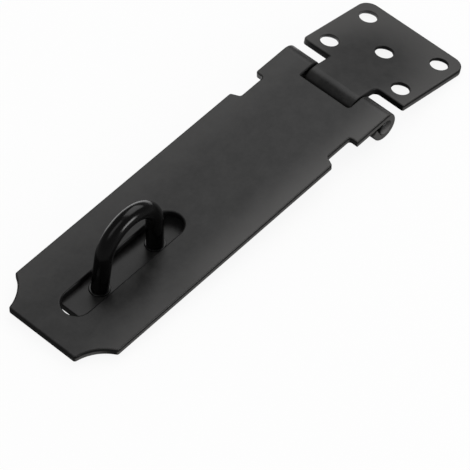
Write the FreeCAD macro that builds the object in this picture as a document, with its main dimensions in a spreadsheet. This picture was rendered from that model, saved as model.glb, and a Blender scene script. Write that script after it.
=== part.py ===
import FreeCAD, Part
import math
import os
import Sketcher
from FreeCAD import Placement, Rotation, Vector

# Hasp and staple for a padlock, laid out as it comes to rest on a flat surface.
# Millimetres, +Z up. The origin is the middle of the staple plate's underside,
# the hinge pin lies along Y at +X, and the strap's free end points to -X.

# Driving dimensions: name, size in millimetres (angles in degrees), meaning
SIZES = [
    ("sheet_thickness", 2.0, "steel of the strap and the leaf"),
    ("edge_round", 0.5, "rolled-over upper edge of the stamped plates"),
    ("pin_diameter", 4.7, "hinge pin"),
    ("pin_clearance", 0.05, "radial play of the pin in its knuckles"),
    ("pin_proud", 0.15, "pin end that stands out of each outer knuckle"),
    ("pin_end_round", 0.3, "rounding of the pin's ends"),
    ("knuckle_wrap", 243.0, "turn of the curl round the pin, in degrees"),
    ("knuckle_seam", 0.9, "open seam between the curl's end and the plate's underside"),
    ("knuckle_gap", 0.55, "least gap from the leaf's curl to the strap's window"),
    ("strap_width", 38.0, "strap across"),
    ("strap_reach", 117.0, "pin axis to the strap's free end"),
    ("scallop_along", 9.4, "concave corner, measured along the strap"),
    ("scallop_across", 6.8, "concave corner, measured across the strap"),
    ("scallop_radius", 13.0, "radius of the concave corner"),
    ("tip_round", 0.8, "rounding of the strap's pointed corners"),
    ("notch_near", 12.0, "pin axis to the side notch"),
    ("notch_length", 10.5, "side notch along the strap"),
    ("notch_depth", 2.85, "side notch into the strap"),
    ("notch_slope", 1.3, "run of the notch's sloping end"),
    ("notch_round", 0.9, "rounding inside the side notch"),
    ("notch_tip_round", 0.9, "rounding of the left notch's corner on the hinge side"),
    ("window_round_left", 0.3, "rounding inside the window's left corner"),
    ("window_round_right", 0.9, "rounding inside the window's right corner"),
    ("slot_side_clearance", 1.35, "slot wall to the staple's collar, across"),
    ("slot_run_hinge", 6.5, "slot end to the staple's collar, hinge side"),
    ("slot_run_free", 10.0, "slot end to the staple's collar, free side"),
    ("slot_end_web", 9.15, "metal between the slot and the strap's free end"),
    ("leaf_reach", 35.7, "pin axis to the leaf's far edge"),
    ("leaf_inset", 0.2, "leaf's long edges inside the strap's, each side"),
    ("leaf_slide", 0.2, "how far the leaf has slid to the right along the pin"),
    ("leaf_corner", 4.0, "rounding of the leaf's far corners"),
    ("shoulder_reach", 6.9, "pin axis to the leaf's shoulders"),
    ("shoulder_corner_left", 1.2, "rounding of the left shoulder's outer corner"),
    ("shoulder_corner_right", 0.6, "rounding of the right shoulder's outer corner"),
    ("tab_root_left", 0.4, "rounding where the tab leaves the left shoulder"),
    ("tab_root_right", 1.8, "rounding where the tab leaves the right shoulder"),
    ("tab_width", 17.3, "leaf's tab that curls round the pin"),
    ("tab_side_gap", 0.37, "tab to the window's side, each side"),
    ("screw_hole_diameter", 5.4, "holes for the wood screws"),
    ("countersink_depth", 1.0, "45 degree countersink on the screw head's side"),
    ("hole_edge_round", 0.25, "rounded lip of a screw hole on the leaf's outer face"),
    ("leaf_hole_near_edge", 5.25, "leaf's shoulders to its near holes"),
    ("leaf_hole_far_edge", 6.05, "leaf's far edge to its far holes"),
    ("leaf_hole_side_edge", 5.5, "leaf's long edges to its outer holes"),
    ("rod_diameter", 5.0, "staple's round bar"),
    ("leg_spacing", 21.6, "middle of one staple leg to the other, at the plate"),
    ("leg_lean_free", 7.5, "how far the leg at the free end leans inwards, in degrees"),
    ("leg_lean_hinge", 2.5, "how far the leg at the hinge leans inwards, in degrees"),
    ("crown_height", 22.0, "middle of the bar at the top of the arch"),
    ("collar_diameter", 6.1, "shoulder forged on each leg above the plate"),
    ("collar_height", 0.4, "height of that shoulder"),
    ("collar_round", 0.2, "rounding of that shoulder"),
    ("rivet_spread", 0.85, "how far the leg's riveted tail spreads"),
    ("rivet_clearance", 0.05, "radial play of the leg in the plate"),
    ("plate_thickness", 2.0, "staple plate"),
    ("plate_length", 43.4, "staple plate along the strap"),
    ("plate_width", 34.0, "staple plate across"),
    ("plate_corner", 3.0, "rounding of the staple plate's corners"),
    ("plate_edge_round", 0.3, "rounding of the staple plate's upper edge"),
    ("plate_hole_edge", 5.5, "staple plate's edges to its screw holes, both ways"),
    ("rest_gap", 0.03, "play where the strap rests on the staple plate"),
    ("trim_margin", 3.0, "how far a trimming cut runs past the metal"),
]

# Sizes that follow from the ones above
DERIVED = [
    ("pin_radius", "pin_diameter / 2"),
    ("bore_radius", "pin_radius + pin_clearance"),
    ("barrel_radius", "bore_radius + sheet_thickness"),
    ("pin_half_length", "strap_width / 2 + pin_proud"),
    ("pin_flat_radius", "pin_radius - pin_end_round"),
    ("pin_flat_half", "pin_half_length - pin_end_round"),
    ("curl_cos", "cos((90 - knuckle_wrap) * 1deg)"),
    ("curl_sin", "sin((90 - knuckle_wrap) * 1deg)"),
    ("curl_outer_x", "barrel_radius * curl_cos"),
    ("curl_outer_z", "barrel_radius * curl_sin"),
    ("curl_inner_x", "bore_radius * curl_cos"),
    ("curl_inner_z", "bore_radius * curl_sin"),
    ("curl_lead_out", "(curl_inner_z + knuckle_seam - bore_radius) / curl_cos"),
    ("tail_outer_x", "curl_outer_x + curl_lead_out * curl_sin"),
    ("tail_outer_z", "curl_outer_z - curl_lead_out * curl_cos"),
    ("tail_inner_x", "curl_inner_x + curl_lead_out * curl_sin"),
    ("tail_inner_z", "curl_inner_z - curl_lead_out * curl_cos"),
    ("hinge_trim", "barrel_radius + trim_margin"),
    ("strap_half", "strap_width / 2"),
    ("scallop_side_x", "strap_reach - scallop_along"),
    ("scallop_end_y", "strap_half - scallop_across"),
    ("notch_far", "notch_near + notch_length"),
    ("notch_floor_far", "notch_far - notch_slope"),
    ("notch_floor_y", "strap_half - notch_depth"),
    ("tab_half", "tab_width / 2"),
    ("window_half", "tab_half + tab_side_gap"),
    ("window_reach", "sqrt(pow(barrel_radius + knuckle_gap; 2) - pow(bore_radius; 2))"),
    ("strap_frame_x", "strap_reach + trim_margin"),
    ("strap_frame_y", "strap_half + trim_margin"),
    ("frame_hinge_x", "hinge_trim + trim_margin"),
    ("leaf_half", "strap_half - leaf_inset"),
    ("leaf_frame_x", "leaf_reach + trim_margin"),
    ("leaf_hole_near", "shoulder_reach + leaf_hole_near_edge"),
    ("leaf_hole_far", "leaf_reach - leaf_hole_far_edge"),
    ("leaf_hole_middle", "(leaf_hole_near + leaf_hole_far) / 2"),
    ("leaf_hole_y", "leaf_half - leaf_hole_side_edge"),
    ("screw_hole_radius", "screw_hole_diameter / 2"),
    ("rod_radius", "rod_diameter / 2"),
    ("collar_radius", "collar_diameter / 2"),
    ("collar_flat_radius", "collar_radius - collar_round"),
    ("leg_x", "leg_spacing / 2"),
    ("staple_reach", "strap_reach - slot_end_web - slot_run_free - collar_radius - leg_x"),
    ("arch_rise", "crown_height - plate_thickness"),
    ("free_sin", "sin(leg_lean_free * 1deg)"),
    ("free_cos", "cos(leg_lean_free * 1deg)"),
    ("hinge_sin", "sin(leg_lean_hinge * 1deg)"),
    ("hinge_cos", "cos(leg_lean_hinge * 1deg)"),
    ("free_share", "free_cos / (1 - free_sin)"),
    ("hinge_share", "hinge_cos / (1 - hinge_sin)"),
    ("free_loss", "arch_rise * free_sin / (1 - free_sin)"),
    ("hinge_loss", "arch_rise * hinge_sin / (1 - hinge_sin)"),
    ("arch_shift", "(hinge_share - free_share) * leg_x + free_loss - hinge_loss"),
    ("arch_centre_x", "arch_shift / (free_share + hinge_share)"),
    ("arch_radius", "free_share * (leg_x + arch_centre_x) - free_loss"),
    ("arch_centre_z", "crown_height - arch_radius"),
    ("arch_free_x", "arch_centre_x - arch_radius * free_cos"),
    ("arch_free_z", "arch_centre_z + arch_radius * free_sin"),
    ("arch_hinge_x", "arch_centre_x + arch_radius * hinge_cos"),
    ("arch_hinge_z", "arch_centre_z + arch_radius * hinge_sin"),
    ("collar_top", "plate_thickness + collar_height"),
    ("collar_side_top", "collar_top - collar_round"),
    ("rivet_radius", "rod_radius + rivet_spread"),
    ("leg_hole_radius", "rod_radius + rivet_clearance"),
    ("slot_half_width", "collar_radius + slot_side_clearance"),
    ("slot_hinge_centre", "staple_reach - leg_x - collar_radius - slot_run_hinge + slot_half_width"),
    ("slot_free_centre", "strap_reach - slot_end_web - slot_half_width"),
    ("plate_half_length", "plate_length / 2"),
    ("plate_half_width", "plate_width / 2"),
    ("plate_hole_x", "plate_half_length - plate_hole_edge"),
    ("plate_hole_y", "plate_half_width - plate_hole_edge"),
]

doc = FreeCAD.newDocument("hasp_and_staple")
sheet = doc.addObject("Spreadsheet::Sheet", "sizes")
for row, (name, size, meaning) in enumerate(SIZES, start=1):
    sheet.set("A%d" % row, meaning)
    sheet.set("B%d" % row, str(size))
    sheet.setAlias("B%d" % row, name)
for row, (name, rule) in enumerate(DERIVED, start=1):
    sheet.set("D%d" % row, name.replace("_", " "))
    sheet.set("E%d" % row, "=" + rule)
    sheet.setAlias("E%d" % row, name)
doc.recompute()

VERTICAL = Vector(0, 0, 1)
TOLERANCE = 1e-5


# Reading the sheet
def number(cell):
    """Value of a named cell; a leading minus turns its sign, and "0" is the axis."""
    if cell == "0":
        return 0.0
    if cell.startswith("-"):
        return -number(cell[1:])
    return float(sheet.get(cell))


def formula(cell):
    """The same cell as an expression for a constraint or a property."""
    return "-sizes." + cell[1:] if cell.startswith("-") else "sizes." + cell


def opposite(cell):
    """The cell with its sign turned, for a mirrored point."""
    if cell == "0":
        return cell
    return cell[1:] if cell.startswith("-") else "-" + cell


# Sketches: every corner and radius is tied to the sheet
def new_sketch(body, name, plane):
    """Sketch on one of the body's own origin planes."""
    sketch = body.newObject("Sketcher::SketchObject", name)
    support = [item for item in body.Origin.OriginFeatures if item.Role == plane][0]
    sketch.AttachmentSupport = [(support, "")]
    sketch.MapMode = "FlatFace"
    return sketch


def tie(sketch, constraint, cell):
    """Add a constraint and bind it to a cell, unless it only holds a point on an axis."""
    index = sketch.addConstraint(constraint)
    if cell != "0":
        sketch.setExpression("Constraints[%d]" % index, formula(cell))


def tie_point(sketch, element, end, cell_x, cell_y):
    """Hold one end or centre of a sketch element at a place named in the sheet."""
    tie(sketch, Sketcher.Constraint("DistanceX", -1, 1, element, end, number(cell_x)), cell_x)
    tie(sketch, Sketcher.Constraint("DistanceY", -1, 1, element, end, number(cell_y)), cell_y)


def arc_through(start, end, radius, turn):
    """Arc of at most half a turn from start to end that turns left or right."""
    chord = end - start
    rise = math.sqrt(max(radius ** 2 - (chord.Length / 2) ** 2, 0.0))
    sideways = Vector(-chord.y, chord.x, 0).normalize() * (rise if turn == "left" else -rise)
    centre = (start + end) / 2 + sideways
    first, last = (start, end) if turn == "left" else (end, start)
    angle_first = math.atan2(first.y - centre.y, first.x - centre.x)
    angle_last = math.atan2(last.y - centre.y, last.x - centre.x)
    return Part.ArcOfCircle(Part.Circle(centre, VERTICAL, radius), angle_first, angle_last)


def draw_outline(sketch, corners):
    """Closed outline of lines and arcs through the corners. A corner is (x, y) or
    (x, y, radius, turn): the last two make the side that leaves it an arc."""
    ends = []
    for here, there in zip(corners, corners[1:] + corners[:1]):
        start = Vector(number(here[0]), number(here[1]), 0)
        end = Vector(number(there[0]), number(there[1]), 0)
        if len(here) == 2:
            element = sketch.addGeometry(Part.LineSegment(start, end), False)
            ends.append((element, 1, 2))
        else:
            arc = arc_through(start, end, number(here[2]), here[3])
            element = sketch.addGeometry(arc, False)
            ends.append((element, 1, 2) if here[3] == "left" else (element, 2, 1))
            tie(sketch, Sketcher.Constraint("Radius", element, number(here[2])), here[2])
    for (element, first_end, last_end), after, here in zip(ends, ends[1:] + ends[:1], corners):
        tie_point(sketch, element, first_end, here[0], here[1])
        sketch.addConstraint(Sketcher.Constraint("Coincident", element, last_end, after[0], after[1]))


def draw_rectangle(sketch, low_x, high_x, low_y, high_y):
    """Rectangle between four named places."""
    draw_outline(sketch, [(low_x, low_y), (high_x, low_y), (high_x, high_y), (low_x, high_y)])


def draw_circle(sketch, cell_x, cell_y, radius):
    """Circle with its centre and radius named in the sheet."""
    centre = Vector(number(cell_x), number(cell_y), 0)
    element = sketch.addGeometry(Part.Circle(centre, VERTICAL, number(radius)), False)
    tie_point(sketch, element, 3, cell_x, cell_y)
    tie(sketch, Sketcher.Constraint("Radius", element, number(radius)), radius)


def draw_slot(sketch, low_centre, high_centre, radius):
    """Long hole along X on the axis, with half-round ends."""
    half = number(radius)
    low = Vector(number(low_centre), 0, 0)
    high = Vector(number(high_centre), 0, 0)
    up = Vector(0, half, 0)
    low_arc = arc_through(low + up, low - up, half, "left")
    high_arc = arc_through(high - up, high + up, half, "left")
    cap_low = sketch.addGeometry(low_arc, False)
    cap_high = sketch.addGeometry(high_arc, False)
    top = sketch.addGeometry(Part.LineSegment(low + up, high + up), False)
    base = sketch.addGeometry(Part.LineSegment(low - up, high - up), False)
    for cap, cell in ((cap_low, low_centre), (cap_high, high_centre)):
        tie_point(sketch, cap, 3, cell, "0")
        tie(sketch, Sketcher.Constraint("Radius", cap, half), radius)
        for end in (1, 2):
            tie(sketch, Sketcher.Constraint("DistanceX", -1, 1, cap, end, number(cell)), cell)
    joins = [(cap_low, 1, top, 1), (cap_high, 2, top, 2), (cap_low, 2, base, 1), (cap_high, 1, base, 2)]
    for join in joins:
        sketch.addConstraint(Sketcher.Constraint("Coincident", *join))


def mirrored(corners):
    """Corners of one long side, followed by the same corners on the other side.
    An arc keeps its turn, because the far side is walked the other way."""
    far_side = []
    for index in range(len(corners) - 1, -1, -1):
        arc = corners[index - 1][2:] if index > 0 else ()
        far_side.append((corners[index][0], opposite(corners[index][1])) + tuple(arc))
    return corners + far_side


# Features
def new_body(name):
    """Body of one physical piece; its label names its file."""
    body = doc.addObject("PartDesign::Body", name)
    body.Label = name
    return body


def cut(body, name, sketch, width=None):
    """Cut along the sketch's normal, both ways alike, and check that metal went.
    The cut goes right through unless a width is given."""
    before = body.Shape.Volume
    pocket = body.newObject("PartDesign::Pocket", name)
    pocket.Profile = sketch
    pocket.SideType = "Symmetric"
    if width:
        pocket.setExpression("Length", width)
    else:
        pocket.Type = "ThroughAll"
    doc.recompute()
    if not body.Shape.Volume < before - TOLERANCE:
        raise RuntimeError("the cut %s removed nothing" % name)
    return pocket


def corner_edges(shape, corners):
    """Names of the edges along Z at the given (x, y) places."""
    found = []
    for index, edge in enumerate(shape.Edges, start=1):
        first, last = edge.firstVertex().Point, edge.lastVertex().Point
        upright = abs(first.x - last.x) < TOLERANCE and abs(first.y - last.y) < TOLERANCE
        if not upright or abs(first.z - last.z) < TOLERANCE:
            continue
        for cell_x, cell_y in corners:
            if abs(first.x - number(cell_x)) < TOLERANCE and abs(first.y - number(cell_y)) < TOLERANCE:
                found.append("Edge%d" % index)
    return found


def both_sides(corners):
    """The same places on both long sides."""
    return corners + [(cell_x, opposite(cell_y)) for cell_x, cell_y in corners]


def at_height(edge, level):
    """Whether an edge lies wholly at one height."""
    box = edge.BoundBox
    return abs(box.ZMin - level) < TOLERANCE and abs(box.ZMax - level) < TOLERANCE


def outline_edges(shape, level):
    """Names of the outline's edges at one height. Left out are the rims of round holes
    and the seam above the pin, where the plate runs smoothly into its curl."""
    found = []
    for index, edge in enumerate(shape.Edges, start=1):
        seam = abs(edge.BoundBox.XMin) < TOLERANCE and abs(edge.BoundBox.XMax) < TOLERANCE
        if at_height(edge, level) and not seam and not edge.isClosed():
            found.append("Edge%d" % index)
    return found


def rims(shape, level, cell):
    """Names of the round holes' rims of one radius at one height."""
    found = []
    for index, edge in enumerate(shape.Edges, start=1):
        if at_height(edge, level) and edge.isClosed():
            if abs(edge.Curve.Radius - number(cell)) < TOLERANCE:
                found.append("Edge%d" % index)
    return found


def dress(body, kind, name, base, edges, size_property, cell):
    """Fillet or chamfer on chosen edges, its size bound to the sheet."""
    if not edges:
        raise RuntimeError("no edges for %s" % name)
    feature = body.newObject("PartDesign::" + kind, name)
    feature.Base = (base, edges)
    feature.setExpression(size_property, formula(cell))
    doc.recompute()
    return feature


def rolled_blank(body, reach):
    """Plate along -X whose end curls down round the pin: the plate's face lies level with
    the barrel's top, and the last stretch runs straight, so the roll has an open seam."""
    side = new_sketch(body, body.Name + "_side", "XZ_Plane")
    draw_roll(side, reach)
    blank = body.newObject("PartDesign::Pad", body.Name + "_blank")
    blank.Profile = side
    blank.SideType = "Symmetric"
    blank.setExpression("Length", "2 * sizes.strap_frame_y")
    doc.recompute()
    return blank


def draw_roll(sketch, reach):
    """Side view of the plate and its curl; both arcs of the curl share the pin's axis."""
    far = opposite(reach)
    start = math.radians(90 - number("knuckle_wrap"))
    top = math.pi / 2
    arcs = {}
    for cell in ("barrel_radius", "bore_radius"):
        circle = Part.Circle(Vector(0, 0, 0), VERTICAL, number(cell))
        arcs[cell] = sketch.addGeometry(Part.ArcOfCircle(circle, start, top), False)
    outer, inner = arcs["barrel_radius"], arcs["bore_radius"]
    tail = draw_run(sketch, [
        ("curl_outer_x", "curl_outer_z"),
        ("tail_outer_x", "tail_outer_z"),
        ("tail_inner_x", "tail_inner_z"),
        ("curl_inner_x", "curl_inner_z"),
    ])
    plate = draw_run(sketch, [
        ("0", "bore_radius"),
        (far, "bore_radius"),
        (far, "barrel_radius"),
        ("0", "barrel_radius"),
    ])
    for arc, cell, tail_side, tail_end, plate_side, plate_end in (
            (outer, "barrel_radius", tail[0], 1, plate[-1], 2),
            (inner, "bore_radius", tail[-1], 2, plate[0], 1)):
        sketch.addConstraint(Sketcher.Constraint("Coincident", arc, 1, tail_side, tail_end))
        sketch.addConstraint(Sketcher.Constraint("Coincident", arc, 2, plate_side, plate_end))
        tie(sketch, Sketcher.Constraint("Radius", arc, number(cell)), cell)


def draw_run(sketch, corners):
    """Open run of straight sides with every corner tied; returns the sides."""
    sides = []
    for here, there in zip(corners[:-1], corners[1:]):
        start = Vector(number(here[0]), number(here[1]), 0)
        end = Vector(number(there[0]), number(there[1]), 0)
        sides.append(sketch.addGeometry(Part.LineSegment(start, end), False))
    for side, here in zip(sides, corners):
        tie_point(sketch, side, 1, here[0], here[1])
    tie_point(sketch, sides[-1], 2, corners[-1][0], corners[-1][1])
    for side, after in zip(sides[:-1], sides[1:]):
        sketch.addConstraint(Sketcher.Constraint("Coincident", side, 2, after, 1))
    return sides


# Strap: slotted plate with scalloped corners, side notches and two outer knuckles
def make_strap():
    body = new_body("strap")
    rolled_blank(body, "strap_reach")
    long_side = [
        ("-strap_reach", "scallop_end_y", "scallop_radius", "left"),
        ("-scallop_side_x", "strap_half"),
        ("-notch_far", "strap_half"),
        ("-notch_floor_far", "notch_floor_y"),
        ("-notch_near", "notch_floor_y"),
        ("-notch_near", "strap_half"),
        ("hinge_trim", "strap_half"),
        ("hinge_trim", "window_half"),
        ("-window_reach", "window_half"),
    ]
    tips = [
        ("-strap_reach", "scallop_end_y"),
        ("-scallop_side_x", "strap_half"),
        ("-notch_far", "strap_half"),
    ]
    notch_roots = [("-notch_floor_far", "notch_floor_y"), ("-notch_near", "notch_floor_y")]
    under = new_sketch(body, "middle_knuckle_room", "XZ_Plane")
    draw_rectangle(under, "-hinge_trim", "hinge_trim", "-hinge_trim", "bore_radius")
    cut(body, "middle_knuckle_cut", under, "2 * sizes.window_half")
    outline = new_sketch(body, "strap_outline", "XY_Plane")
    draw_rectangle(outline, "-strap_frame_x", "frame_hinge_x", "-strap_frame_y", "strap_frame_y")
    draw_outline(outline, mirrored(long_side))
    cut(body, "strap_trim", outline)
    slot = new_sketch(body, "strap_slot_outline", "XY_Plane")
    draw_slot(slot, "-slot_free_centre", "-slot_hinge_centre", "slot_half_width")
    shape = cut(body, "strap_slot", slot)
    for name, cell, places in (
            ("strap_tips", "tip_round", both_sides(tips)),
            ("strap_notch_roots", "notch_round", both_sides(notch_roots)),
            ("strap_notch_tip", "notch_tip_round", [("-notch_near", "strap_half")]),
            ("strap_window_left", "window_round_left", [("-window_reach", "window_half")]),
            ("strap_window_right", "window_round_right", [("-window_reach", "-window_half")])):
        edges = corner_edges(body.Shape, places)
        shape = dress(body, "Fillet", name, shape, edges, "Radius", cell)
    edges = outline_edges(body.Shape, number("barrel_radius"))
    dress(body, "Fillet", "strap_edges", shape, edges, "Radius", "edge_round")
    return body


# Leaf: the screwed plate, with shoulders, a tab that makes the middle knuckle, and five holes.
# It is drawn along -X like the strap and turned round in place, so its left side is at -Y here.
def make_leaf():
    body = new_body("hinge_leaf")
    rolled_blank(body, "leaf_reach")
    long_side = [
        ("-leaf_reach", "leaf_half"),
        ("-shoulder_reach", "leaf_half"),
        ("-shoulder_reach", "tab_half"),
        ("hinge_trim", "tab_half"),
    ]
    outline = new_sketch(body, "leaf_outline", "XY_Plane")
    draw_rectangle(outline, "-leaf_frame_x", "frame_hinge_x", "-strap_frame_y", "strap_frame_y")
    draw_outline(outline, mirrored(long_side))
    cut(body, "leaf_trim", outline)
    holes = new_sketch(body, "leaf_hole_outlines", "XY_Plane")
    for cell_x in ("-leaf_hole_near", "-leaf_hole_far"):
        for cell_y in ("leaf_hole_y", "-leaf_hole_y"):
            draw_circle(holes, cell_x, cell_y, "screw_hole_radius")
    draw_circle(holes, "-leaf_hole_middle", "0", "screw_hole_radius")
    shape = cut(body, "leaf_holes", holes)
    for name, cell, places in (
            ("leaf_far_corners", "leaf_corner", both_sides([("-leaf_reach", "leaf_half")])),
            ("leaf_left_shoulder", "shoulder_corner_left", [("-shoulder_reach", "-leaf_half")]),
            ("leaf_right_shoulder", "shoulder_corner_right", [("-shoulder_reach", "leaf_half")]),
            ("leaf_left_root", "tab_root_left", [("-shoulder_reach", "-tab_half")]),
            ("leaf_right_root", "tab_root_right", [("-shoulder_reach", "tab_half")])):
        edges = corner_edges(body.Shape, places)
        shape = dress(body, "Fillet", name, shape, edges, "Radius", cell)
    heads = rims(body.Shape, number("bore_radius"), "screw_hole_radius")
    shape = dress(body, "Chamfer", "leaf_countersinks", shape, heads, "Size", "countersink_depth")
    lips = rims(body.Shape, number("barrel_radius"), "screw_hole_radius")
    shape = dress(body, "Fillet", "leaf_hole_lips", shape, lips, "Radius", "hole_edge_round")
    edges = outline_edges(body.Shape, number("barrel_radius"))
    dress(body, "Fillet", "leaf_edges", shape, edges, "Radius", "edge_round")
    return body


# Pin: plain rod through all three knuckles, with rounded ends
def make_pin():
    body = new_body("hinge_pin")
    profile = new_sketch(body, "pin_profile", "XY_Plane")
    draw_outline(profile, [
        ("0", "-pin_half_length"),
        ("pin_flat_radius", "-pin_half_length", "pin_end_round", "left"),
        ("pin_radius", "-pin_flat_half"),
        ("pin_radius", "pin_flat_half", "pin_end_round", "left"),
        ("pin_flat_radius", "pin_half_length"),
        ("0", "pin_half_length"),
    ])
    rod = body.newObject("PartDesign::Revolution", "pin_rod")
    rod.Profile = profile
    rod.ReferenceAxis = (profile, ["V_Axis"])
    rod.Angle = 360
    doc.recompute()
    return body


# Staple: round bar bent to an arch, with a forged shoulder and a riveted tail on each leg.
# Above the plate the legs lean inwards, the free one more, and the arch touches both.
def make_staple_loop():
    body = new_body("staple_loop")
    section = new_sketch(body, "loop_section", "XY_Plane")
    root = Vector(-number("leg_x"), 0, number("plate_thickness"))
    section.AttachmentOffset = Placement(root, Rotation(Vector(0, 1, 0), number("leg_lean_free")))
    section.setExpression("AttachmentOffset.Base.x", formula("-leg_x"))
    section.setExpression("AttachmentOffset.Base.z", formula("plate_thickness"))
    section.setExpression("AttachmentOffset.Rotation.Angle", formula("leg_lean_free") + " * 1deg")
    draw_circle(section, "0", "0", "rod_radius")
    path = new_sketch(body, "loop_path", "XZ_Plane")
    free_foot = Vector(-number("leg_x"), number("plate_thickness"), 0)
    free_spring = Vector(number("arch_free_x"), number("arch_free_z"), 0)
    hinge_spring = Vector(number("arch_hinge_x"), number("arch_hinge_z"), 0)
    hinge_foot = Vector(number("leg_x"), number("plate_thickness"), 0)
    middle = Vector(number("arch_centre_x"), number("arch_centre_z"), 0)
    crown = Part.Circle(middle, VERTICAL, number("arch_radius"))
    arch_start = math.radians(number("leg_lean_hinge"))
    arch_end = math.pi - math.radians(number("leg_lean_free"))
    free_leg = path.addGeometry(Part.LineSegment(free_foot, free_spring), False)
    arch = path.addGeometry(Part.ArcOfCircle(crown, arch_start, arch_end), False)
    hinge_leg = path.addGeometry(Part.LineSegment(hinge_spring, hinge_foot), False)
    tie_point(path, free_leg, 1, "-leg_x", "plate_thickness")
    tie_point(path, free_leg, 2, "arch_free_x", "arch_free_z")
    tie_point(path, arch, 3, "arch_centre_x", "arch_centre_z")
    tie(path, Sketcher.Constraint("DistanceY", -1, 1, arch, 1, hinge_spring.y), "arch_hinge_z")
    tie_point(path, hinge_leg, 2, "leg_x", "plate_thickness")
    path.addConstraint(Sketcher.Constraint("Coincident", free_leg, 2, arch, 2))
    path.addConstraint(Sketcher.Constraint("Coincident", arch, 1, hinge_leg, 1))
    bar = body.newObject("PartDesign::AdditivePipe", "loop_bar")
    bar.Profile = section
    bar.Spine = (path, ["Edge1", "Edge2", "Edge3"])
    doc.recompute()
    for side, leg in (("free", "-leg_x"), ("hinge", "leg_x")):
        foot = new_sketch(body, "foot_profile_" + side, "XZ_Plane")
        foot.AttachmentOffset = Placement(Vector(number(leg), 0, 0), Rotation())
        foot.setExpression("AttachmentOffset.Base.x", formula(leg))
        draw_outline(foot, [
            ("0", "0"),
            ("rivet_radius", "0"),
            ("rod_radius", "rivet_spread"),
            ("rod_radius", "plate_thickness"),
            ("collar_radius", "plate_thickness"),
            ("collar_radius", "collar_side_top", "collar_round", "left"),
            ("collar_flat_radius", "collar_top"),
            ("0", "collar_top"),
        ])
        turned = body.newObject("PartDesign::Revolution", "foot_" + side)
        turned.Profile = foot
        turned.ReferenceAxis = (foot, ["V_Axis"])
        turned.Angle = 360
        doc.recompute()
    return body


# Staple plate: the base under the strap, with two leg holes and four countersunk screw holes
def make_staple_plate():
    body = new_body("staple_plate")
    length, width = "plate_half_length", "plate_half_width"
    corners = [("-" + length, width), (length, width)]
    screw_places = [("-plate_hole_x", "plate_hole_y"), ("plate_hole_x", "plate_hole_y")]
    top = number("plate_thickness")
    outline = new_sketch(body, "plate_outline", "XY_Plane")
    draw_rectangle(outline, "-" + length, length, "-" + width, width)
    blank = body.newObject("PartDesign::Pad", "plate_blank")
    blank.Profile = outline
    blank.setExpression("Length", formula("plate_thickness"))
    doc.recompute()
    legs = new_sketch(body, "leg_hole_outlines", "XY_Plane")
    for cell_x in ("-leg_x", "leg_x"):
        draw_circle(legs, cell_x, "0", "leg_hole_radius")
    shape = cut(body, "leg_holes", legs)
    seats = rims(body.Shape, 0.0, "leg_hole_radius")
    shape = dress(body, "Chamfer", "rivet_seats", shape, seats, "Size", "rivet_spread")
    screws = new_sketch(body, "screw_hole_outlines", "XY_Plane")
    for cell_x, cell_y in both_sides(screw_places):
        draw_circle(screws, cell_x, cell_y, "screw_hole_radius")
    shape = cut(body, "screw_holes", screws)
    edges = corner_edges(body.Shape, both_sides(corners))
    shape = dress(body, "Fillet", "plate_corners", shape, edges, "Radius", "plate_corner")
    edges = outline_edges(body.Shape, top)
    shape = dress(body, "Fillet", "plate_upper_edge", shape, edges, "Radius", "plate_edge_round")
    heads = rims(body.Shape, top, "screw_hole_radius")
    dress(body, "Chamfer", "screw_seats", shape, heads, "Size", "countersink_depth")
    return body


# Resting angles: both follow from what each plate touches
def leaf_tilt():
    """The leaf's far lower edge lies on the surface that the barrel stands on."""
    reach, inside, axis = number("leaf_reach"), number("bore_radius"), number("barrel_radius")
    return math.degrees(math.asin(axis / math.hypot(reach, inside)) + math.atan2(inside, reach))


def strap_tilt():
    """The strap's underside lies on the staple plate's rounded outer edge."""
    bend = number("plate_edge_round")
    inside = number("bore_radius")
    along = number("staple_reach") + number("plate_half_length") - bend
    down = number("barrel_radius") - (number("plate_thickness") - bend)
    lift = inside - bend - number("rest_gap")
    return math.degrees(math.asin(lift / math.hypot(along, down)) + math.atan2(down, along))


# Assembly: the pin's axis stands one barrel radius above the surface
strap = make_strap()
leaf = make_leaf()
pin = make_pin()
staple_loop = make_staple_loop()
staple_plate = make_staple_plate()
pin_place = Vector(number("staple_reach"), 0, number("barrel_radius"))
leaf_place = pin_place - Vector(0, number("leaf_slide"), 0)
across = Vector(0, 1, 0)
half_turn = Rotation(VERTICAL, 180)
strap.Placement = Placement(pin_place, Rotation(across, -strap_tilt()))
pin.Placement = Placement(pin_place, Rotation(across, -strap_tilt()))
leaf.Placement = Placement(leaf_place, Rotation(across, leaf_tilt()).multiply(half_turn))
doc.recompute()

# Checks, then one file for each piece
pieces = [strap, leaf, pin, staple_loop, staple_plate]
for item in doc.Objects:
    if "Invalid" in item.State or "Error" in item.State:
        raise RuntimeError("%s did not build: %s" % (item.Name, item.State))
for piece in pieces:
    if piece.Shape.isNull() or not piece.Shape.isValid() or len(piece.Shape.Solids) != 1:
        raise RuntimeError("%s is not one valid solid" % piece.Label)
os.makedirs("parts", exist_ok=True)
for piece in pieces:
    piece.Shape.exportStep("parts/%s.step" % piece.Label)
    box = piece.Shape.BoundBox
    print("%-13s %8.1f mm3  x %.2f..%.2f  y %.2f..%.2f  z %.2f..%.2f" % (
        piece.Label, piece.Shape.Volume, box.XMin, box.XMax, box.YMin, box.YMax, box.ZMin, box.ZMax))
print("strap tilt %.3f, leaf tilt %.3f degrees" % (strap_tilt(), leaf_tilt()))
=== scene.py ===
import math

import bpy
import numpy as np
from mathutils import Matrix, Vector

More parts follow.
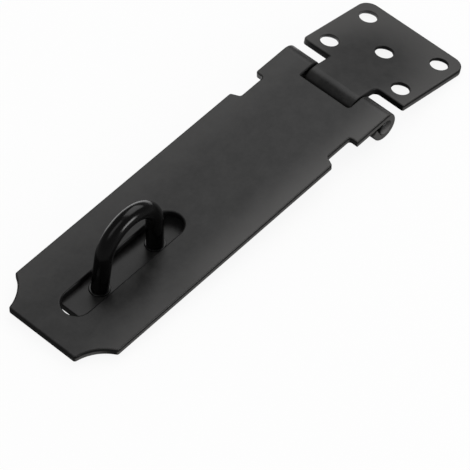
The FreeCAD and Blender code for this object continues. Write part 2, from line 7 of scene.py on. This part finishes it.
# Hasp and staple as it lies on a table, in metres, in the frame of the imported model:
# the hinge pin along Y, the strap's free end towards -X, the staple standing at the origin.
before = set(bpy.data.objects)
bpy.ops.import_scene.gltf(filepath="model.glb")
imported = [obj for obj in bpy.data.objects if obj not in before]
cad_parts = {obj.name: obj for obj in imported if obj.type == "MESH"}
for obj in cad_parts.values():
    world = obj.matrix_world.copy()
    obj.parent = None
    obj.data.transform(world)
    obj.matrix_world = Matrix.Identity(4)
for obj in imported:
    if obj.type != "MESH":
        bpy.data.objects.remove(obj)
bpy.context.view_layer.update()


# Staple plate: a 2 mm mild steel stamping that lies under the strap and shows only through its
# slot, with a countersunk hole in each corner for its fixings. It is powder coated satin black
# like the strap and the leaf, after the staple is riveted in.
class Signal:
    """One output socket of a shader tree. Sums, differences and products of signals and plain
    numbers add the Math nodes that work them out."""

    def __init__(self, socket):
        self.socket = socket
        self.tree = socket.id_data

    def node(self, kind, settings=None, inputs=None, output=0):
        """A new node in this tree: its settings are set first, then its sockets get their values
        or links. Gives one of its outputs as a signal."""
        made = self.tree.nodes.new(kind)
        for name, setting in (settings or {}).items():
            setattr(made, name, setting)
        for key, value in (inputs or {}).items():
            if isinstance(value, Signal):
                self.tree.links.new(value.socket, made.inputs[key])
            else:
                made.inputs[key].default_value = value
        return Signal(made.outputs[output])

    def maths(self, operation, first, second):
        """Math node of two values."""
        return self.node("ShaderNodeMath", {"operation": operation}, {0: first, 1: second})

    def __add__(self, other):
        return self.maths("ADD", self, other)

    def __radd__(self, other):
        return self.maths("ADD", other, self)

    def __sub__(self, other):
        return self.maths("SUBTRACT", self, other)

    def __rsub__(self, other):
        return self.maths("SUBTRACT", other, self)

    def __mul__(self, other):
        return self.maths("MULTIPLY", self, other)

    def __rmul__(self, other):
        return self.maths("MULTIPLY", other, self)

    def squared(self):
        """This value times itself."""
        return self * self

    def ramp(self, low, high):
        """Smooth rise from 0 at low to 1 at high, or a fall where low is the larger."""
        return self.node("ShaderNodeMapRange", {"interpolation_type": "SMOOTHSTEP"},
                         {"Value": self, "From Min": low, "From Max": high})

    def axis(self, number):
        """One coordinate of this place: 0, 1 or 2 for X, Y or Z."""
        return self.node("ShaderNodeSeparateXYZ", {}, {0: self}, output=number)

    def moved(self, location=(0.0, 0.0, 0.0), scale=(1.0, 1.0, 1.0), turn=0.0):
        """This place scaled, turned about Y, then shifted."""
        inputs = {"Vector": self, "Location": location, "Rotation": (0.0, turn, 0.0), "Scale": scale}
        return self.node("ShaderNodeMapping", {}, inputs)

    def length(self):
        """Distance of this place from zero."""
        return self.node("ShaderNodeVectorMath", {"operation": "LENGTH"}, {0: self}, output=1)

    def noise(self, grain, detail=1.0):
        """Cloudy pattern on this place; grain is the size of its blobs, detail how many finer
        patterns lie over it."""
        return self.node("ShaderNodeTexNoise", {}, {"Vector": self, "Scale": 1.0 / grain, "Detail": detail})

    def dots(self, spacing, radius, core=0.3):
        """Sparse round dots, one in each cell of a scattered grid, solid within a share of their
        radius, the core, and soft outside it."""
        cell = self.node("ShaderNodeTexVoronoi", {}, {"Vector": self, "Scale": 1.0 / spacing})
        return cell.ramp(radius / spacing, core * radius / spacing)


def blend(mask, low, high):
    """Colour that turns from low to high with the mask."""
    settings = {"data_type": "RGBA", "clamp_factor": True}
    return mask.node("ShaderNodeMix", settings, {0: mask, 6: low, 7: high}, output=2)


def grey(level, warmth=0.0):
    """Neutral colour of one linear level, made warmer by a small share."""
    return (level * (1 + warmth), level, level * (1 - warmth), 1.0)


def new_finish(name, **constants):
    """Material with one Principled shader. The constants are its sockets that are alike all over.
    Gives the material, the shader node and a signal of the place on the piece, in metres."""
    material = bpy.data.materials.new(name)
    material.use_nodes = True
    shader = material.node_tree.nodes["Principled BSDF"]
    for socket, value in constants.items():
        shader.inputs[socket.replace("_", " ")].default_value = value
    coordinates = material.node_tree.nodes.new("ShaderNodeTexCoord")
    return material, shader, Signal(coordinates.outputs["Object"])


def feed(shader, socket, signal):
    """Links a signal to a socket of the shader."""
    shader.id_data.links.new(signal.socket, shader.inputs[socket])


def relief(height, depth, under=None):
    """Bumped normal for a height from 0 to 1 that stands for a depth in metres, over another one
    where under is given."""
    inputs = {"Height": height, "Distance": depth}
    if under:
        inputs["Normal"] = under
    return height.node("ShaderNodeBump", {}, inputs)


def dress(node, material):
    """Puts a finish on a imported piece."""
    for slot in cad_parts[node].material_slots:
        slot.material = material


# Colours are linear brightnesses, and grains, spacings, radii and depths are metres.
COAT_TONE = 0.0065       # the coat where nothing has touched it
COAT_SPREAD = (0.1, 1.9)         # its darkest and lightest, as shares of that tone
LIGHT_RIM_TONE = 0.048      # painted light: the grey of a lighter halo along the plates' rims
PIT_AND_SHADE_TONE = 0.002        # painted shade on faces that do not look up, such as the upper edges and slot walls; also the black of pits
WALL_LIGHT_TONE = 0.065        # painted light low on the outer sheared walls that face left or right
DUST_TONE = 0.075
COAT_WARMTH = 0.03       # share of brown in the greys
SATIN = 0.36             # roughness of the faces
SATIN_BY_CLOUD = 0.16    # how far it follows the clouds, and the mottling
SATIN_BY_MOTTLE = 0.06
EDGE_SATIN = 0.55
EDGE_FACING = (0.60, 0.20)       # square of how far a face looks up, from where an edge counts as one
WALL_TOP = (0.0006, 0.0011)      # from the upper face down to where the walls' painted light begins
SIDE_FACING = (0.30, 0.70)       # square of how far a wall with painted light faces left or right
MIDDLE_REACH = (0.0100, 0.0125)  # edges this near to the middle line are inside ones
NOISE_MEAN = 0.5         # the value that noise wavers about
CLOUD_DETAIL = 3.0
CLOUD_GRAIN = 0.013      # soft clouds in the coat
CLOUD_SHARE = 1.3
BLOTCH_GRAIN = 0.0036    # blotches in them
BLOTCH_SHARE = 1.5
MOTTLE_GRAIN = 0.0012    # fine mottling
MOTTLE_SHARE = 0.9
PEEL_GRAIN = 0.00042     # orange peel of the cured powder
PEEL_DEPTH = 0.000006
WAVE_GRAIN = 0.016       # slow waves of the rolled sheet
WAVE_DEPTH = 0.00004
DUST_SPACING = 0.0058
DUST_RADIUS = 0.00016
DUST_CLOUDS = (0.0, 0.1)         # dust shows only on the lighter clouds
PIT_SPACING = 0.0074
PIT_RADIUS = 0.00022
PIT_CLOUDS = (0.0, -0.06)        # and pits only on the darker ones


def powder_coat(name, tilt, top, lightened=None):
    """Satin black powder coat on a stamped plate that is tilted about Y, with its upper face at the
    height top once that tilt is taken off.
    Colour: clouds, blotches and fine mottling around one tone; painted light, greyer, where lightened
    gives a mask; painted shade, near black, on every face that does not look up except low on the
    outer side walls; black in a few pits; painted light, greyer, low on the outer walls that face
    left or right; sparse dust. Roughness: follows the clouds and rises inside the slot. Relief: fine
    orange peel over the slow waves of the sheet. lightened gives a mask of painted light from the
    place on the piece."""
    material, shader, place = new_finish(name)
    flat = place.moved(turn=-tilt)
    clouds = flat.noise(CLOUD_GRAIN, CLOUD_DETAIL) - NOISE_MEAN
    blotches = flat.noise(BLOTCH_GRAIN, CLOUD_DETAIL) - NOISE_MEAN
    mottling = flat.noise(MOTTLE_GRAIN) - NOISE_MEAN
    shade = clouds * CLOUD_SHARE + blotches * BLOTCH_SHARE + mottling * MOTTLE_SHARE + NOISE_MEAN
    coat = blend(shade, *(grey(COAT_TONE * share, COAT_WARMTH) for share in COAT_SPREAD))
    # Painted light: the coat turns greyer towards the rims where a mask is given.
    if lightened:
        coat = blend(lightened(place), coat, grey(LIGHT_RIM_TONE, COAT_WARMTH))
    pits = flat.dots(PIT_SPACING, PIT_RADIUS) * clouds.ramp(*PIT_CLOUDS)
    dust = flat.dots(DUST_SPACING, DUST_RADIUS) * clouds.ramp(*DUST_CLOUDS)
    coat = blend(dust, blend(pits, coat, grey(PIT_AND_SHADE_TONE)), grey(DUST_TONE, COAT_WARMTH))

    # Painted shade: near black on every face that does not look up, such as the upper edges, end walls and
    # slot walls. Painted light: greyer low on the outer side walls.
    facing = place.node("ShaderNodeTexCoord", output="Normal")
    edge = facing.axis(2).squared().ramp(*EDGE_FACING)
    side = facing.axis(1).squared().ramp(*SIDE_FACING)
    outside = place.axis(1).squared().ramp(*(reach ** 2 for reach in MIDDLE_REACH))
    wall_light = (top - flat.axis(2)).ramp(*WALL_TOP) * side * outside
    edge_shade_and_light = blend(wall_light, grey(PIT_AND_SHADE_TONE), grey(WALL_LIGHT_TONE, COAT_WARMTH))
    feed(shader, "Base Color", blend(edge, coat, edge_shade_and_light))

    satin = clouds * SATIN_BY_CLOUD + mottling * SATIN_BY_MOTTLE + SATIN
    feed(shader, "Roughness", satin + edge * (1.0 - outside) * (EDGE_SATIN - SATIN))
    waves = relief(flat.noise(WAVE_GRAIN), WAVE_DEPTH)
    feed(shader, "Normal", relief(flat.noise(PEEL_GRAIN), PEEL_DEPTH, waves))
    return material


PLATE_TOP = 0.0020       # its upper face
dress("staple_plate", powder_coat("coat_of_staple_plate", 0.0, PLATE_TOP))


# Staple: mild steel round bar of 5 mm, bent cold to an arch, with a low forged shoulder on each
# leg and its tails riveted over under the plate. Its coat is thicker, deeper black and glossier,
# because powder gathers on a thin bar.
ARCH_MIDDLE = (0.00046, 0.0, 0.0121)
LEG_FLOOR = (-1.0, -1.0, 0.0)    # counts every height below the arch's middle as that middle
BAR_TONE = 0.0011
BAR_SPREAD = (0.7, 1.4)          # darkest and lightest of its patches, as shares of the tone
GLOSS = 0.20             # roughness of the bar's coat
GLOSS_BY_PATCH = 0.10    # how far it follows the patches, and the lines
GLOSS_BY_LINE = 0.16
BAR_DETAIL = 2.0
PATCH_GRAIN = 0.006      # soft patches in the coat
DRAW_GRAIN = 0.0009      # lines left by drawing the bar
DRAW_DEPTH = 0.000016
DRAW_SHARE = 0.12        # share of the bar's length that the lines follow
LUMP_GRAIN = 0.0035      # lumps where the powder flowed together
LUMP_DEPTH = 0.00002
SIDE_ON = (1.0, 0.0, 1.0)        # scale that leaves only the place as seen along Y


def bent_bar(place):
    """Place on the staple with its length pressed together, so that lines run along the bar: how
    far from the arch's middle or, in the legs, from its upright line; the place across; and a
    small share of the height."""
    centred = place.moved(tuple(-step for step in ARCH_MIDDLE))
    above = centred.node("ShaderNodeVectorMath", {"operation": "MAXIMUM"}, {0: centred, 1: LEG_FLOOR})
    reach = above.moved(scale=SIDE_ON).length()
    height = place.axis(2) * DRAW_SHARE
    return place.node("ShaderNodeCombineXYZ", {}, {0: reach, 1: place.axis(1), 2: height})


def straight_bar(place):
    """Place on the pin with its length pressed together."""
    return place.moved(scale=(1.0, DRAW_SHARE, 1.0))


def bar_coat(name, tone, lengthwise, ends=None):
    """Semi-gloss black coat on drawn bar.
    Colour: a deep tone with soft patches. Roughness: follows the patches, with streaks along the
    bar. Relief: soft lumps of the coat, with the lines of the drawn bar over them.
    lengthwise gives the place with the bar's length pressed together. ends gives the colour of
    rubbed ends from the place on the piece and the coat's colour."""
    material, shader, place = new_finish(name)
    patches = place.noise(PATCH_GRAIN, BAR_DETAIL)
    lines = lengthwise(place).noise(DRAW_GRAIN, BAR_DETAIL)
    coat = blend(patches, *(grey(tone * share) for share in BAR_SPREAD))
    feed(shader, "Base Color", ends(place, coat) if ends else coat)
    streaks = (patches - NOISE_MEAN) * GLOSS_BY_PATCH + (lines - NOISE_MEAN) * GLOSS_BY_LINE
    feed(shader, "Roughness", streaks + GLOSS)
    lumps = relief(place.noise(LUMP_GRAIN), LUMP_DEPTH)
    feed(shader, "Normal", relief(lines, DRAW_DEPTH, lumps))
    return material


dress("staple_loop", bar_coat("coat_of_staple", BAR_TONE, bent_bar))


# Strap: 2 mm mild steel plate, stamped with scalloped corners, side notches, a slot and a window,
# then rolled at the hinge end into two outer knuckles. Satin black powder coat, tumbled edges.
STRAP_TILT = math.radians(2.592)
STRAP_TOP = 0.0050       # its upper face, with the tilt taken off
LIGHT_RIGHT = (-0.0085, -0.0215)   # across, from where the painted light begins to its full strength
RIGHT_STRENGTH = 1.1
LIGHT_LEFT = (0.005, 0.020)
LEFT_STRENGTH = 0.38
STAPLE_SHADE_X = -0.016       # painted shade beside the staple: its dark reflection in the strap
STAPLE_SHADE_REACH = (0.034, 0.014)   # along, from where the painted shade begins to where it is full
STAPLE_SHADE_SHARE = 0.55         # strength that the right edge's painted light loses there


def light_along_edges(place):
    """Painted light: grey along both long edges, wider and stronger on the right one, and weaker
    beside the staple, which leaves a painted shade of the staple's reflection."""
    staple_shade = (place.axis(0) - STAPLE_SHADE_X).squared().ramp(*(reach ** 2 for reach in STAPLE_SHADE_REACH))
    right = place.axis(1).ramp(*LIGHT_RIGHT) * (RIGHT_STRENGTH - staple_shade * STAPLE_SHADE_SHARE)
    return right + place.axis(1).ramp(*LIGHT_LEFT) * LEFT_STRENGTH


dress("strap", powder_coat("coat_of_strap", -STRAP_TILT, STRAP_TOP, light_along_edges))


# Hinge leaf: the same 2 mm plate with five screw holes and a tab that is rolled round the pin
# between the strap's knuckles. It droops to the table, because only the pin holds it.
LEAF_TILT = math.radians(10.910)
LEAF_TOP = 0.02462       # its upper face, with the tilt taken off
LEAF_MIDDLE = (0.0958, -0.0002)
LEAF_HALF = (0.0236, 0.0180)     # from that middle to the rim, along and across
RIM_REACH = (0.35, 1.15)         # where the painted light begins and is full, as shares of those
RIM_STRENGTH = 0.92
TAB_FALL = (0.0800, 0.0870)      # along, from the tab's roll, which stays dark, to the flat leaf


def light_round_rim(place):
    """Painted light all round: grey from nothing at the leaf's middle to its full strength at the rim."""
    scale = (1.0 / LEAF_HALF[0], 1.0 / LEAF_HALF[1], 0.0)
    shift = (-LEAF_MIDDLE[0] * scale[0], -LEAF_MIDDLE[1] * scale[1], 0.0)
    rim = place.moved(shift, scale).length().ramp(*RIM_REACH)
    return rim * place.axis(0).ramp(*TAB_FALL) * RIM_STRENGTH


dress("hinge_leaf", powder_coat("coat_of_leaf", LEAF_TILT, LEAF_TOP, light_round_rim))


# Hinge pin: plain mild steel rod pushed through the three knuckles before coating, with rounded
# ends that stand a little out of the outer knuckles and are rubbed towards bare steel.
PIN_TONE = 0.012
PIN_AXIS = (0.0840, 0.0, 0.0044)
PIN_END_SHADED_TONES = (0.016, 0.115)   # of a rubbed end with painted light and shade, darker at its top and lighter at its bottom
PIN_END_WARMTH = 0.02
PIN_END_HEIGHTS = (0.0016, -0.0018)
PIN_END_REACH = (0.01900, 0.01912)
PIN_DISC = (0.0023, 0.0019)      # the rubbed disc stays inside a black ring


def rubbed_ends(place, coat):
    """Ends rubbed towards bare steel inside a black ring, with painted light and shade: lighter towards the
    bottom.
    """
    centred = place.moved(tuple(-step for step in PIN_AXIS))
    disc = centred.moved(scale=SIDE_ON).length().ramp(*PIN_DISC)
    end = place.axis(1).squared().ramp(*(reach ** 2 for reach in PIN_END_REACH))
    # Painted light and shade: the end face is lighter towards its bottom.
    height = centred.axis(2).ramp(*PIN_END_HEIGHTS)
    lightened = blend(height, *(grey(tone, PIN_END_WARMTH) for tone in PIN_END_SHADED_TONES))
    return blend(disc * end, coat, lightened)


dress("hinge_pin", bar_coat("coat_of_pin", PIN_TONE, straight_bar, rubbed_ends))


# Table: a plain white sheet under the piece. It shows white to the camera and through glass, keeps
# a faint shadow, and is dim in the gloss of the coats, apart from the part beyond the staple.
TABLE_HALF = 3.0
TABLE_LINES = 3          # lines of its grid each way
TABLE_DROP = 0.00005     # clear of the staple plate's underside
TABLE_WHITE = 0.86
TABLE_GLOW = 0.90        # share of plain white that the camera sees
TABLE_GLOSS = (0.12, 0.95)       # how bright gloss sees it, and the part beyond the staple's left
BRIGHT_FROM_X = (-0.012, 0.012)  # that part begins on these stretches along and across
BRIGHT_FROM_Y = (0.000, 0.015)


def grid_piece(name, points):
    """Mesh of quads over an array of points, rows by columns by 3: each point is joined to the
    next one in its row and to those two in the next row."""
    rows, columns = points.shape[:2]
    index = np.arange(rows * columns).reshape(rows, columns)
    quads = np.stack([index[:-1, :-1], index[1:, :-1], index[1:, 1:], index[:-1, 1:]], axis=-1)
    mesh = bpy.data.meshes.new(name)
    mesh.from_pydata(points.reshape(-1, 3).tolist(), [], quads.reshape(-1, 4).tolist())
    mesh.update()
    piece = bpy.data.objects.new(name, mesh)
    bpy.context.scene.collection.objects.link(piece)
    return piece


def white_backing(name, colour, glow, gloss):
    """Matt white surface that shows plain white to rays from the camera and from glass. The
    camera's share leaves some of the surface, which shows the shadow. Gloss sees it as bright as
    the first value of gloss, rising to the second beyond the staple's left."""
    material, shader, place = new_finish(name, Base_Color=colour, Roughness=0.9, Specular_IOR_Level=0.2)
    camera_ray = place.node("ShaderNodeLightPath", output="Is Camera Ray")
    gloss_ray = place.node("ShaderNodeLightPath", output="Is Glossy Ray")
    glass_ray = place.node("ShaderNodeLightPath", output="Is Transmission Ray")
    beyond = place.axis(0).ramp(*BRIGHT_FROM_X) * place.axis(1).ramp(*BRIGHT_FROM_Y)
    in_gloss = beyond * (gloss[1] - gloss[0]) + gloss[0]
    strength = 1.0 - gloss_ray * (1.0 - in_gloss)
    white = place.node("ShaderNodeEmission", {}, {"Color": grey(1.0), "Strength": strength})
    seen = camera_ray * glow + gloss_ray + glass_ray
    mix = place.node("ShaderNodeMixShader", {}, {0: seen, 1: Signal(shader.outputs[0]), 2: white})
    feed(material.node_tree.nodes["Material Output"], "Surface", mix)
    return material


across, along = np.meshgrid(np.linspace(-TABLE_HALF, TABLE_HALF, TABLE_LINES),
                            np.linspace(TABLE_HALF, -TABLE_HALF, TABLE_LINES))
table = grid_piece("table", np.stack([across, along, np.full_like(across, -TABLE_DROP)], axis=-1))
table.data.materials.append(white_backing("white_sheet", grey(TABLE_WHITE), TABLE_GLOW, TABLE_GLOSS))


# Light: an even white room, with a large soft panel high beyond the hinge end, a weaker one over
# the free end, and a narrow strip low on the right, which draws the bright line down the staple.
ROOM_LIGHT = 0.70        # what the room gives as light
ROOM_GLOSS = 0.10        # what gloss sees of it; the camera and glass see white

world = bpy.data.worlds.new("white_room")
bpy.context.scene.world = world
world.use_nodes = True
room = world.node_tree.nodes["Background"]
camera_ray = Signal(world.node_tree.nodes.new("ShaderNodeLightPath").outputs["Is Camera Ray"])
gloss_ray = camera_ray.node("ShaderNodeLightPath", output="Is Glossy Ray")
glass_ray = camera_ray.node("ShaderNodeLightPath", output="Is Transmission Ray")
white_rays = (camera_ray + glass_ray) * (1.0 - ROOM_LIGHT)
feed(room, "Strength", white_rays + gloss_ray * (ROOM_GLOSS - ROOM_LIGHT) + ROOM_LIGHT)
room.inputs["Color"].default_value = grey(1.0)


def soft_panel(name, azimuth, elevation, distance, width, height, brightness):
    """Area lamp that faces the staple from a direction, in degrees from +X and from the table.
    A brightness of 1 is as bright as plain white."""
    lamp = bpy.data.lights.new(name, "AREA")
    lamp.shape = "RECTANGLE"
    lamp.size = width
    lamp.size_y = height
    lamp.energy = brightness * math.pi * width * height
    turn, rise = math.radians(azimuth), math.radians(elevation)
    towards = Vector((math.cos(turn) * math.cos(rise), math.sin(turn) * math.cos(rise), math.sin(rise)))
    panel = bpy.data.objects.new(name, lamp)
    facing = towards.to_track_quat("Z", "Y").to_matrix().to_4x4()
    panel.matrix_world = Matrix.Translation(towards * distance) @ facing
    bpy.context.scene.collection.objects.link(panel)


soft_panel("panel", azimuth=16.0, elevation=51.0, distance=1.2, width=1.05, height=1.05, brightness=1.25)
soft_panel("fill", azimuth=172.0, elevation=62.0, distance=1.2, width=0.50, height=1.10, brightness=0.60)
soft_panel("strip", azimuth=-74.0, elevation=13.0, distance=0.9, width=0.42, height=0.30, brightness=4.6)


# Camera: a long lens, high over the free end's right side, as the photograph was taken. It looks
# at AIM from a distance, along a direction given by an azimuth and an elevation, and is rolled a
# little.
AZIMUTH, ELEVATION, ROLL = (math.radians(angle) for angle in (-49.692, 50.428, 2.748))
AIM = Vector((0.04463, 0.00056, -0.02450))
DISTANCE = 0.92702

camera_data = bpy.data.cameras.new("camera")
camera_data.sensor_width = 36.0
camera_data.lens = 252.0
camera_data.clip_start = 0.05
camera_data.clip_end = 20.0
camera = bpy.data.objects.new("camera", camera_data)
bpy.context.scene.collection.objects.link(camera)
back = Vector((math.sin(AZIMUTH) * math.cos(ELEVATION), -math.cos(AZIMUTH) * math.cos(ELEVATION),
               math.sin(ELEVATION)))
level = Vector((math.cos(AZIMUTH), math.sin(AZIMUTH), 0.0))
upright = back.cross(level)
right = level * math.cos(ROLL) + upright * math.sin(ROLL)
up = upright * math.cos(ROLL) - level * math.sin(ROLL)
turn = Matrix((right, up, back)).transposed().to_4x4()
camera.matrix_world = Matrix.Translation(AIM + back * DISTANCE) @ turn
bpy.context.scene.camera = camera

bpy.context.scene.view_settings.view_transform = "Standard"
